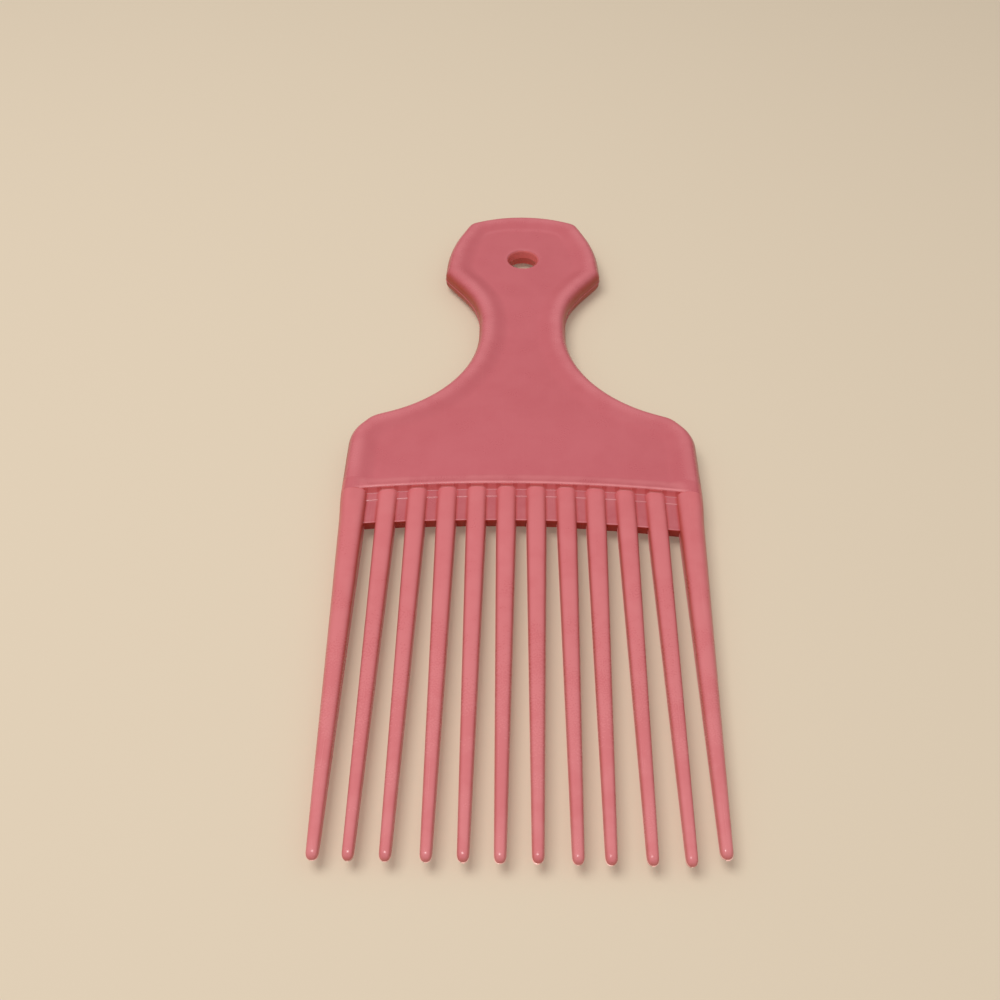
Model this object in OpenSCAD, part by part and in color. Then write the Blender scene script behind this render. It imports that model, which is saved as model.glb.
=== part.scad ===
// Afro pick: one moulded comb with a flat handle, a cross rib and a row of long tines.
// It lies flat. X runs across the tines, Y runs from the tips to the grip, and Z is up.

/* [Overall] */
// Length from the tine tips to the top of the grip
overall_l = 170; // [162:1:182]
// Length of the handle and its cross rib, from the middle tines to the top of the grip
handle_l = 93.4; // [90:0.2:100]
// Width across the shoulders
overall_w = 71; // [66:0.5:76]
// Thickness over the rims
rim_t = 6; // [5.4:0.1:7]

/* [Tines] */
// Number of tines between the two guard tines
tine_n = 10; // [6:2:10]
// Gap between two inner tines at the cross rib
tine_gap = 1.95; // [1.4:0.05:2.4]
// Width of an inner tine where its tip starts to round
tine_tip_w = 1.95; // [1.6:0.05:2.6]
// Thickness of an inner tine at the cross rib
tine_root_t = 4; // [3.6:0.1:4.6]
// Thickness of every tine where its tip starts to round
tine_tip_t = 2.3; // [1.8:0.1:2.8]
// Length of the rounded tip
tip_l = 1.5; // [1:0.1:2]
// Length that an inner tine runs at its full width before it tapers
parallel_l = 11; // [11:0.1:14]
// Width of a guard tine at the cross rib
guard_root_w = 5.35; // [4.8:0.05:5.8]
// Width of a guard tine where its tip starts to round
guard_tip_w = 2.1; // [1.8:0.05:2.8]
// Thickness of a guard tine at the cross rib
guard_root_t = 5.2; // [4.6:0.1:5.3]
// How far the left guard tine leans inwards over its length
lean_left = 1; // [0:0.05:1.6]
// How far the right guard tine leans inwards over its length
lean_right = 1.4; // [0:0.05:1.6]
// How much shorter the left guard tine is. Its neighbours follow it by less and less.
tip_slant = 0.1; // [0:0.1:1.4]
// How much shorter the right guard tine is
guard_short = 1.1; // [0:0.1:1.6]
// Gap between a guard tine and its neighbour at the cross rib
side_gap = 2.05; // [1.6:0.05:2.6]

/* [Web between the tines] */
// Length of the web from the cross rib
web_l = 8.4; // [6:0.1:8.6]
// How much longer the web is beside the right guard tine
web_grow = 1.1; // [0:0.1:1.2]
// Thickness of the web
web_t = 2; // [1.4:0.1:2.1]
// Height and length of the blend from the rib down to the web
web_blend = 1; // [0.6:0.1:1.2]
// Radius on the web's free edge
web_edge_r = 0.4; // [0.2:0.05:0.6]

/* [Cross rib] */
// Width of the rib, from the tines to the plate
rib_w = 3; // [2.6:0.1:4]
// Thickness over the rib's crest
rib_t = 5.5; // [5.2:0.1:5.8]
// Run of the sloping face between the tines and the crest
rib_face = 0.5; // [0.3:0.05:0.8]
// Width of the crest
rib_crest = 0.35; // [0.2:0.05:0.6]
// How far the rib bows towards the grip at its middle
rib_bow_h = 2.3; // [1:0.1:3]

/* [Shoulders] */
// Straight side of the plate above the rib's middle
shoulder_l = 15; // [13:0.2:18]
// Width that each shoulder corner takes off
shoulder_cut_w = 4; // [3:0.05:5]
// Height of each shoulder corner
shoulder_cut_l = 4.8; // [3.8:0.05:6]
// Radius between the side and the shoulder corner
shoulder_side_r = 9; // [5:0.5:9]
// Radius between the shoulder corner and the flare
shoulder_top_r = 6; // [3:0.5:7]
// Rise of the flare from the shoulder to the neck
flare_l = 8.4; // [6:0.1:10]
// Radius of the flare
flare_r = 28.5; // [20:0.5:30]

/* [Neck and grip] */
// Width of the neck at its narrowest
neck_w = 19.6; // [18:0.2:23]
// Distance from the top down to the end of the neck
neck_drop = 37; // [35:0.5:40]
// Radius where the neck widens to the grip
neck_r = 20; // [14:0.5:22]
// Width across the grip's cheeks
cheek_w = 28.2; // [26.4:0.2:30]
// Distance from the top down to the cheeks
cheek_drop = 30.1; // [29:0.1:32]
// Radius at the cheeks
cheek_r = 12; // [6:0.5:14]
// Width across the grip's widest corners
grip_w = 37; // [36:0.2:39]
// Distance from the top down to the widest corners
grip_drop = 24.1; // [22.5:0.1:25.5]
// Radius of the widest corners
grip_r = 1.8; // [1.2:0.1:2.4]
// Width across the grip's upper sides
brow_w = 35.9; // [34.4:0.1:36.6]
// Distance from the top down to the upper sides
brow_drop = 13.7; // [12:0.1:15]
// Radius of the upper sides
brow_r = 35; // [10:1:36]
// Width across the top corners
top_w = 27; // [25:0.2:28]
// Distance from the top down to the top corners
top_drop = 3.2; // [2.4:0.1:3.8]
// Radius of the top corners
top_r = 3.5; // [2:0.1:4]
// Width of the crown's flat
crown_w = 12.9; // [10:0.1:15]
// Radius of the crown
crown_r = 30; // [10:1:32]

/* [Rim section] */
// Inset of the rim's crest from the edge
crest_in = 1.9; // [1.5:0.05:2.3]
// Width of the crest's flat, which the comb rests on
crest_flat = 0.5; // [0.3:0.05:0.8]
// Width of the slope from the crest down to the panel
slope_w = 4.3; // [3:0.1:4.6]
// Depth of the panel below the rim, on each face
dish_depth = 0.95; // [0.5:0.05:1.3]
// Height of the narrow flat that the parting line leaves on the edge
land_t = 0.3; // [0.2:0.05:0.6]

/* [Hanging hole] */
// Diameter of the hole
hole_d = 6.8; // [5:0.1:7.6]
// Distance from the top of the grip down to the hole's centre
hole_drop = 17.9; // [16:0.1:20]
// Width and depth of the rounded mouth on each face
hole_lip = 0.3; // [0.15:0.05:0.5]

/* [Hidden] */
tine_l = overall_l - handle_l;
half_w = overall_w / 2;
half_t = rim_t / 2;
land = land_t / 2;
panel_z = half_t - dish_depth;
rim_w = crest_in + crest_flat + slope_w;
// Bend of the rim's rounded side: 2 is an ellipse, and more is squarer
side_power = 2.2;
side_steps = 5;
slope_steps = 5;
// Points along a tine's corner and around its tip
corner_steps = 4;
tip_angles = [0, 28, 52, 68, 80];
// How fast the sharper corners get rounder on the inner lines of the rim, per length inwards
soften_share = 0.6;
// The corners at the two ends of a line take up to this share of it
fit_share = 0.98;
// Sideways drift of each inner tine's tip, from left to right, as a share of the pitch
drift_shares = [-0.01, 0, 0.06, 0.03, 0, -0.01, 0.03, -0.1, -0.03, -0.02];
// Corner sizes of a tine's section at the rib and at the tip, as shares of its width and thickness
root_corner_shares = [0.125, 0.25];
tip_corner_shares = [0.3, 0.36];
// Where the rib's back is hollow, as shares of its run and of its rise
hollow_shares = [0.4, 0.35];
// Share of the web blocks, from the left, that have the same length
even_share = 0.6;
overrun = 1;

pitch = (overall_w - 2 * guard_root_w - 2 * side_gap + tine_gap) / tine_n;
tine_root_w = pitch - tine_gap;
inner_root_x = pitch * (tine_n - 1) / 2;
tine_count = tine_n + 2;
grow_from = round(even_share * tine_n);
pink = [0.80, 0.43, 0.47];

function tine_name(i) =
    i == 0 ? "guard_tine_left" :
    i == tine_count - 1 ? "guard_tine_right" :
    str("tine_", i < 10 ? "0" : "", i);

// The rim's section: inset from the edge and height above the middle, from the edge to the panel
rim_section = concat(
    [for (k = [0:side_steps]) let (a = 90 * k / side_steps)
        [crest_in * (1 - pow(cos(a), 2 / side_power)), land + (half_t - land) * pow(sin(a), 2 / side_power)]],
    [for (k = [0:slope_steps]) let (s = k / slope_steps)
        [crest_in + crest_flat + slope_w * s, half_t - dish_depth * s * s * (3 - 2 * s)]]);
rim_rings = len(rim_section);

// The rib's wall is a row of flats that follows an arc. Each inner tine stands on one flat.
bow_r = (half_w * half_w + rib_bow_h * rib_bow_h) / (2 * rib_bow_h);
function bow(x) = sqrt(bow_r * bow_r - x * x) - bow_r;
joint_xs = concat(
    [-half_w, rim_w - half_w],
    [for (i = [1:tine_n - 1]) (i - tine_n / 2) * pitch],
    [half_w - rim_w, half_w]);
wall_table = [for (x = joint_xs) [x, tine_l + bow(x)]];
function wall(x) = lookup(x, wall_table);

// Plan geometry
function unit(v) = v / norm(v);
function inward(a, b) = let (u = unit(b - a)) [-u.y, u.x];
function cross_z(a, b) = a.x * b.y - a.y * b.x;
function flip(p) = [-p.x, p.y];
function reverse(list) = [for (i = [len(list) - 1:-1:0]) list[i]];

// Corners of the right half of the outline, from the shoulder to the crown: point, radius, steps
shoulder_y = tine_l + shoulder_l;
flare_y = shoulder_y + shoulder_cut_l;
corners = [
    [[half_w, shoulder_y], shoulder_side_r, 4],
    [[half_w - shoulder_cut_w, flare_y], shoulder_top_r, 3],
    [[neck_w / 2, flare_y + flare_l], flare_r, 12],
    [[neck_w / 2, overall_l - neck_drop], neck_r, 6],
    [[cheek_w / 2, overall_l - cheek_drop], cheek_r, 1],
    [[grip_w / 2, overall_l - grip_drop], grip_r, 4],
    [[brow_w / 2, overall_l - brow_drop], brow_r, 4],
    [[top_w / 2, overall_l - top_drop], top_r, 4],
    [[crown_w / 2, overall_l], crown_r, 5]
];
function control(i) = i < 0 ? [half_w, tine_l] : i >= len(corners) ? flip(corners[i - 1][0]) : corners[i][0];

// A corner's point on the line that runs d inside the outline
function inset_point(i, d) =
    i < 0 ? control(i) - [d, 0] :
    i >= len(corners) ? flip(inset_point(i - 1, d)) :
    let (n = inward(control(i - 1), control(i)), m = inward(control(i), control(i + 1)))
    control(i) + d * (n + m) / (1 + n * m);

// A corner on that line: the way back and on from it, half its angle, its side and its full run
function bend(i, d) =
    let (
        b = inset_point(i, d), u = unit(inset_point(i - 1, d) - b), w = unit(inset_point(i + 1, d) - b),
        half = acos(u * w) / 2,
        side = sign(cross_z(w, u)),
        r = corners[i][1],
        wanted = side > 0 ? max(r - d, min(r, grip_r) + soften_share * d) : r + d)
    [u, w, half, side, wanted / tan(half)];
function full_run(i, d) = i < 0 ? 0 : bend(min(i, len(corners) - 1), d)[4];

// The part of the full runs that fits on the line from corner i to the next one
function room(i, d) =
    let (gap = norm(inset_point(i + 1, d) - inset_point(i, d)))
    min(1, fit_share * gap / (full_run(i, d) + full_run(i + 1, d)));

// The points of one rounded corner on that line
function corner_arc(i, d) =
    let (
        b = inset_point(i, d), e = bend(i, d), u = e[0], w = e[1], half = e[2],
        run = e[4] * min(room(i - 1, d), room(i, d)),
        r = run * tan(half),
        centre = b + unit(u + w) * r / sin(half),
        from = b + u * run - centre,
        start = atan2(from.y, from.x),
        steps = corners[i][2])
    [for (k = [0:steps]) let (q = start + e[3] * (180 - 2 * half) * k / steps)
        centre + r * [cos(q), sin(q)]];

function foot(d) = [half_w - d, wall(half_w - d) + rib_w];
function half_ring(d) = concat([foot(d)], [for (i = [0:len(corners) - 1]) each corner_arc(i, d)]);
function full_ring(d) = let (h = half_ring(d)) concat(h, [for (p = reverse(h)) flip(p)]);

// Moves a shape from the tip line and the middle plane to the part's own frame
module place() {
    translate([0, -overall_l / 2, half_t]) children();
}

// A solid skinned over closed rings of the same number of points. Each ring is the same above and
// below the middle, from its left side over the top, so an end is closed by strips.
module loft(rings) {
    n = len(rings[0]);
    last = (len(rings) - 1) * n;
    polyhedron(
        points = [for (ring = rings) each ring],
        faces = concat(
            [for (j = [0:n / 2 - 2]) [n - 1 - j, n - 2 - j, j + 1, j]],
            [for (i = [0:n:last - n], j = [0:n - 1]) each let (
                a = i + j, b = i + (j + 1) % n, c = b + n, e = a + n) [[a, b, c], [a, c, e]]],
            [for (j = [0:n / 2 - 2]) [last + j, last + j + 1, last + n - 2 - j, last + n - 1 - j]]));
}

// The rim: rings step inwards from the edge over the crest to the panel, above and below
module rim_band() {
    rings = [for (s = rim_section) full_ring(s[0])];
    m = len(rings[0]);
    inner = (rim_rings - 1) * m;
    side_n = rim_rings * m;
    function side_points(side) =
        [for (k = [0:rim_rings - 1], p = rings[k]) [p.x, p.y, side * rim_section[k][1]]];
    function below(faces) = [for (face = faces) [for (v = reverse(face)) v + side_n]];
    // Joins a line of points above the middle to the same line below it
    function wall_faces(line) = [for (i = [0:len(line) - 2]) each let (a = line[i], b = line[i + 1])
        [[a, b, b + side_n], [a, b + side_n, a + side_n]]];
    skin = [for (k = [0:rim_rings - 2], j = [0:m - 2]) each let (
        a = k * m + j, b = a + m, c = b + 1, e = a + 1) [[a, b, c], [a, c, e]]];
    polyhedron(
        points = concat(side_points(1), side_points(-1)),
        faces = concat(
            skin, below(skin),
            wall_faces([for (j = [0:m - 1]) j]),
            wall_faces([for (j = [m - 1:-1:0]) inner + j]),
            wall_faces([for (k = [0:rim_rings - 1]) k * m + m - 1]),
            wall_faces([for (k = [rim_rings - 1:-1:0]) k * m])));
}

// The hole's cutter: a straight bore with a rounded mouth on each face
module hole_cutter() {
    r = hole_d / 2;
    straight = panel_z - hole_lip;
    function lip(side) = [for (k = [0:corner_steps]) let (q = 90 * k / corner_steps)
        [r + hole_lip * (1 - cos(q)), side * (straight + hole_lip * sin(q))]];
    rotate_extrude($fn = 48)
        polygon(concat(
            [[0, -panel_z - overrun], [r + hole_lip, -panel_z - overrun]],
            reverse(lip(-1)), lip(1),
            [[r + hole_lip, panel_z + overrun], [0, panel_z + overrun]]));
}

module handle_rim() {
    color(pink) place() rim_band();
}

module handle_panel() {
    seam = [for (i = [2:len(joint_xs) - 3]) [joint_xs[i], wall(joint_xs[i]) + rib_w]];
    color(pink) place() difference() {
        translate([0, 0, -panel_z])
            linear_extrude(2 * panel_z)
                polygon(concat(full_ring(rim_w), seam));
        translate([0, overall_l - hole_drop, 0]) hole_cutter();
    }
}

// The rib's stations from left to right: place across, and height of the plate behind
rib_right = concat(
    [for (k = [rim_rings - 1:-1:0]) [half_w - rim_section[k][0], rim_section[k][1], rim_section[k][0]]]);
rib_middle = [for (i = [2:len(joint_xs) - 3]) [joint_xs[i], panel_z, rim_w]];
rib_stations = concat([for (s = reverse(rib_right)) [-s[0], s[1], s[2]]], rib_middle, rib_right);

// One cross-section of the rib: it steps up from the tines, and slopes back to the plate
function rib_ring(s) =
    let (
        x = s[0], plate_z = s[1],
        crest_z = s[2] < crest_in ? plate_z : max(plate_z, rib_t / 2),
        face_z = min(tine_root_t / 2, plate_z),
        hollow = rib_face + rib_crest + (rib_w - rib_face - rib_crest) * hollow_shares[0],
        hollow_z = plate_z + (crest_z - plate_z) * hollow_shares[1],
        top = [
            [0, face_z], [rib_face, crest_z], [rib_face + rib_crest, crest_z],
            [hollow, hollow_z], [rib_w, plate_z]])
    [for (p = concat([for (q = top) [q[0], q[1]]], [for (q = reverse(top)) [q[0], -q[1]]]))
        [x, wall(x) + p[0], p[1]]];

module cross_rib() {
    color(pink) place() loft([for (s = rib_stations) rib_ring(s)]);
}

// Centre, width and thickness of tine i at a height v above the tips
function is_guard(i) = i == 0 || i == tine_count - 1;
function side_of(i) = i == 0 ? -1 : 1;
function tip_y(i) = i == tine_count - 1 ? guard_short : tip_slant * max(0, 1 - i / (tine_n - 1));
function root_x(i) = is_guard(i) ? side_of(i) * (half_w - guard_root_w / 2) : (i - 1) * pitch - inner_root_x;
function lean(i) = i == 0 ? lean_left : i == tine_count - 1 ? -lean_right : drift_shares[i - 1] * pitch;
function tip_x(i) = root_x(i) + lean(i);
function centre_at(i, v) = lookup(v, [[0, tip_x(i)], [tine_l, root_x(i)]]);
function width_at(i, v) = is_guard(i) ?
    lookup(v, [[tip_l, guard_tip_w], [tine_l, guard_root_w]]) :
    lookup(v, [[tip_l, tine_tip_w], [tine_l - parallel_l, tine_root_w]]);
function thickness_at(i, v) =
    lookup(v, [[tip_l, tine_tip_t], [tine_l - parallel_l, is_guard(i) ? guard_root_t : tine_root_t]]);

// Elliptical corner of a section, from angle a0 round clockwise by a quarter turn
function corner(cx, cz, rx, rz, a0) =
    [for (k = [0:corner_steps]) let (q = a0 - 90 * k / corner_steps) [cx + rx * cos(q), cz + rz * sin(q)]];

// Section of a tine: across from left to right, a thickness, and the corner sizes of its two sides
function section(left, right, t, lc, rc) = concat(
    corner(left + lc[0], t / 2 - lc[1], lc[0], lc[1], 180),
    corner(right - rc[0], t / 2 - rc[1], rc[0], rc[1], 90),
    corner(right - rc[0], rc[1] - t / 2, rc[0], rc[1], 0),
    corner(left + lc[0], lc[1] - t / 2, lc[0], lc[1], -90));

// Corner sizes at a height v. A guard tine's outer side carries on the rim's rounded side.
function plain_corner(i, v) =
    let (s = min(1, v / (tine_l - parallel_l)), share = tip_corner_shares * (1 - s) + root_corner_shares * s)
    [share[0] * width_at(i, v), share[1] * thickness_at(i, v)];
function rim_corner(i, v) =
    let (s = min(1, v / tine_l), p = plain_corner(i, 0))
    [p[0] + (crest_in - p[0]) * s, p[1] + (guard_root_t / 2 - land - p[1]) * s];

// Ring of tine i at a height v, shrunk about its centre by the share k
function tine_ring(i, v, k = 1) =
    let (
        c = centre_at(i, v), w = width_at(i, v) / 2, t = thickness_at(i, v),
        lc = i == 0 ? rim_corner(i, v) : plain_corner(i, v),
        rc = i == tine_count - 1 ? rim_corner(i, v) : plain_corner(i, v))
    [for (p = section(-w, w, t, lc, rc)) [c + k * p[0], v, k * p[1]]];

// The flat of the rib's wall that tine i stands on, as its slope and its height at x = 0
function flat_of(i) =
    let (
        a = wall_table[i == 0 ? 0 : i], b = wall_table[i == 0 ? 1 : i + 1],
        slope = (b[1] - a[1]) / (b[0] - a[0]))
    [slope, a[1] - slope * a[0]];

// Where the line through a and b meets a flat that is moved by shift
function meet(a, b, flat, shift = 0) =
    let (t = (flat[0] * a.x + flat[1] + shift - a.y) / (b.y - a.y - flat[0] * (b.x - a.x)))
    a + (b - a) * t;

module tine(i) {
    low = tine_ring(i, tine_l - parallel_l);
    high = tine_ring(i, tine_l);
    last_angle = tip_angles[len(tip_angles) - 1];
    tip = tip_y(i);
    color(pink) place() loft(concat(
        [[for (j = [0:len(low) - 1]) meet(low[j], high[j], flat_of(i))]],
        [low],
        [for (a = tip_angles) tine_ring(i, tip + tip_l * (1 - sin(a) / sin(last_angle)), cos(a))]));
}

// A tine's straight side in plan, from below the web up to the rib
function side_line(i, side) =
    [for (v = [tine_l - parallel_l, tine_l]) [centre_at(i, v) + side * width_at(i, v) / 2, v]];

// Half the profile of a web block that is l long: the blend below the rib, the flat and the rounded free edge
function web_profile(l) = let (h = web_t / 2) concat(
    [[overrun, h + web_blend], [0, h + web_blend]],
    [for (k = [1:corner_steps]) let (q = 90 * k / corner_steps)
        [-web_blend * sin(q) - web_blend * (1 - cos(q)), h + web_blend * (1 - sin(q))]],
    [for (k = [0:corner_steps]) let (q = 90 * k / corner_steps)
        [web_edge_r * (1 - sin(q)) - l, h - web_edge_r * (1 - cos(q))]]);

// The web between tine i and the next one
module web_block(i) {
    left = side_line(i, 1);
    right = side_line(i + 1, -1);
    knee = wall_table[i + 1];
    l = web_l + web_grow * max(0, i - grow_from) / (tine_n - grow_from);
    reach = -l - overrun;
    profile = web_profile(l);
    full_h = web_t + 2 * web_blend;
    intersection() {
        translate([0, 0, -full_h / 2])
            linear_extrude(full_h)
                polygon([
                    meet(left[0], left[1], flat_of(i), reach),
                    meet(right[0], right[1], flat_of(i + 1), reach),
                    meet(right[0], right[1], flat_of(i + 1)), knee,
                    meet(left[0], left[1], flat_of(i))]);
        translate([left[0].x - overrun, knee.y, 0])
            rotate([90, 0, 90])
                linear_extrude(right[0].x - left[0].x + 2 * overrun)
                    polygon(concat(profile, [for (p = reverse(profile)) [p.x, -p.y]]));
    }
}

module tooth_web() {
    color(pink) place() for (i = [0:tine_count - 2]) web_block(i);
}

handle_rim();
handle_panel();
cross_rib();
tooth_web();
for (i = [0:tine_count - 1]) tine(i);
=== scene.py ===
"""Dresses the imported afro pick: fine meshes, moulded plastic, a floor, light and a camera.

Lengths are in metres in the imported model's frame: +X across the tines, +Y from the tips to the
top of the grip, +Z up. The pick lies flat with its middle plane half its thickness up.
"""

import logging
import math
from dataclasses import dataclass, field, replace
from enum import Enum

import bmesh
import bpy
import numpy as np
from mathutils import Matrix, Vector


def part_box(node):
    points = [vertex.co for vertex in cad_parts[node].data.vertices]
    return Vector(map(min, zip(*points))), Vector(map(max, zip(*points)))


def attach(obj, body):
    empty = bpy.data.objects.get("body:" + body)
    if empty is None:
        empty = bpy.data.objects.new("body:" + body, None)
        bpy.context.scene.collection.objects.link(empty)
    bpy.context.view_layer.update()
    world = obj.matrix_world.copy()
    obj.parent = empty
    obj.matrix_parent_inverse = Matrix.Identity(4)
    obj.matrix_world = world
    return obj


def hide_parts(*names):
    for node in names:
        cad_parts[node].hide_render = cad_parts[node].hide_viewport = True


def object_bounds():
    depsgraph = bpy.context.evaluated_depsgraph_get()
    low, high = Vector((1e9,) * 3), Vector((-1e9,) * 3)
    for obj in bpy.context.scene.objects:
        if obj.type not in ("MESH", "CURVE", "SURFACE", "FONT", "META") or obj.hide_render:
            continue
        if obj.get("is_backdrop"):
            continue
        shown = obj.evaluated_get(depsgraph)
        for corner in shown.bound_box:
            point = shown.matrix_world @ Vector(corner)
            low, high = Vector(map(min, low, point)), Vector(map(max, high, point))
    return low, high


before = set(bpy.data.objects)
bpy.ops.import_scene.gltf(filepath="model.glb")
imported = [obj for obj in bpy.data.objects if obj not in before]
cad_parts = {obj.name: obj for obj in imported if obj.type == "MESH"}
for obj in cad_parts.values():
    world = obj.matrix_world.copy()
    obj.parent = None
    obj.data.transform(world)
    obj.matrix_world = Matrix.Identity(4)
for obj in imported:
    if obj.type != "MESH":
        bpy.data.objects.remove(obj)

MM = 0.001
log = logging.getLogger("afro_pick")


class Side(Enum):
    """The left or the right side, of the pick or of one tine."""

    LEFT = -1
    RIGHT = 1


# Meshes


def unit(vector: np.ndarray) -> np.ndarray:
    """The vector scaled to length one."""
    return vector / np.linalg.norm(vector)


def inward(a: np.ndarray, b: np.ndarray) -> np.ndarray:
    """Unit normal on the left of the line from a to b."""
    along = unit(b - a)
    return np.array([-along[1], along[0]])


def eased(share: np.ndarray | float) -> np.ndarray | float:
    """A smooth step from 0 to 1 as share goes from 0 to 1."""
    part = np.clip(share, 0.0, 1.0)
    return part * part * (3.0 - 2.0 * part)


def held(share: float) -> float:
    """The share, held between 0 and 1."""
    return min(max(share, 0.0), 1.0)


def soft_union(own: float, other: float, reach: float) -> float:
    """Height of a face that blends into another face and ducks under it past the blend.

    Args:
        own: Height of the face itself.
        other: Height of the other face at the same place.
        reach: How close the two heights are where the blend starts.

    Returns:
        The blended height.
    """
    gap = other - own
    if gap <= -reach:
        return own
    if gap < reach:
        return max(own, other) + (reach - abs(gap)) ** 2 / (4 * reach)
    return max(own, other - 2 * (gap - reach))


def rounded_line(points: list[tuple[float, float]], rounds: list[float], steps: int) -> np.ndarray:
    """Rounds the inner corners of an open line.

    Args:
        points: The line's corners.
        rounds: How far back from each inner corner its curve starts.
        steps: Segments along each curve.

    Returns:
        The points of the rounded line.
    """
    corners = [np.array(p) for p in points]
    line = [corners[0]]
    for before, corner, after, reach in zip(corners, corners[1:], corners[2:], rounds):
        back, on = before - corner, after - corner
        start = corner + unit(back) * min(reach, np.linalg.norm(back) / 2)
        end = corner + unit(on) * min(reach, np.linalg.norm(on) / 2)
        for k in range(steps + 1):
            t = k / steps
            line.append((1 - t) ** 2 * start + 2 * t * (1 - t) * corner + t**2 * end)
    line.append(corners[-1])
    return np.array(line)


def smooth_object(name: str, shape: bmesh.types.BMesh, sharp_deg: float) -> bpy.types.Object:
    """Makes an object of a shape, with smooth faces and edges that are sharp past an angle.

    Args:
        name: The object's name.
        shape: The shape, which is used up.
        sharp_deg: Angle between two faces past which their edge is sharp.

    Returns:
        The new mesh object, linked to the scene.
    """
    bmesh.ops.recalc_face_normals(shape, faces=shape.faces)
    mesh = bpy.data.meshes.new(name)
    shape.to_mesh(mesh)
    shape.free()
    mesh.shade_smooth()
    mesh.set_sharp_from_angle(angle=math.radians(sharp_deg))
    piece = bpy.data.objects.new(name, mesh)
    bpy.context.scene.collection.objects.link(piece)
    return piece


@dataclass
class MeshDraft:
    """Vertices, faces and tones of one piece while it is being made.

    A tone runs from -1, where the painted shade is darkest, to 1, where the plastic is most rubbed
    and the painted highlights are brightest, and on to 2 for flash, painted palest as the light that
    passes through it.
    """

    name: str
    points: list[tuple[float, float, float]] = field(default_factory=list)
    faces: list[list[int]] = field(default_factory=list)
    tones: list[float] = field(default_factory=list)

    def add_rings(self, rings: np.ndarray, tones: np.ndarray) -> None:
        """Skins closed rings of equal length, and closes both ends.

        Args:
            rings: Ring points, as an array of rings by points by three.
            tones: Tone at each point, as an array of rings by points.
        """
        count, size = rings.shape[:2]
        base = len(self.points)
        self.points.extend(map(tuple, rings.reshape(-1, 3)))
        self.tones.extend(tones.ravel())
        for i in range(count - 1):
            for j in range(size):
                k = (j + 1) % size
                a, b = base + i * size, base + (i + 1) * size
                self.faces.append([a + j, a + k, b + k, b + j])
        last = base + (count - 1) * size
        self.faces.append([base + j for j in reversed(range(size))])
        self.faces.append([last + j for j in range(size)])

    def finish(self, sharp_deg: float) -> bpy.types.Object:
        """Makes the object of the draft.

        Args:
            sharp_deg: Angle between two faces past which their edge is sharp.

        Returns:
            The new mesh object, linked to the scene.
        """
        mesh = bpy.data.meshes.new(self.name)
        mesh.from_pydata(self.points, [], self.faces)
        attribute = mesh.attributes.new("tone", "FLOAT", "POINT")
        attribute.data.foreach_set("value", np.array(self.tones, np.float32))
        shape = bmesh.new()
        shape.from_mesh(mesh)
        bpy.data.meshes.remove(mesh)
        return smooth_object(self.name, shape, sharp_deg)


def hand_over(piece: bpy.types.Object, finish: "MouldedPlastic", *nodes: str) -> None:
    """Gives a finished piece its material, its body and the nodes it stands for.

    Args:
        piece: The finished piece.
        finish: The finish on its surface.
        nodes: CAD nodes that it replaces.
    """
    piece.data.materials.append(finish.material())
    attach(piece, "root")
    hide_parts(*nodes)
    log.info("%s: %d faces, for %s", piece.name, len(piece.data.polygons), ", ".join(nodes))


# Finishes


Colour = tuple[float, float, float, float]
Span = tuple[float, float]


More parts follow.
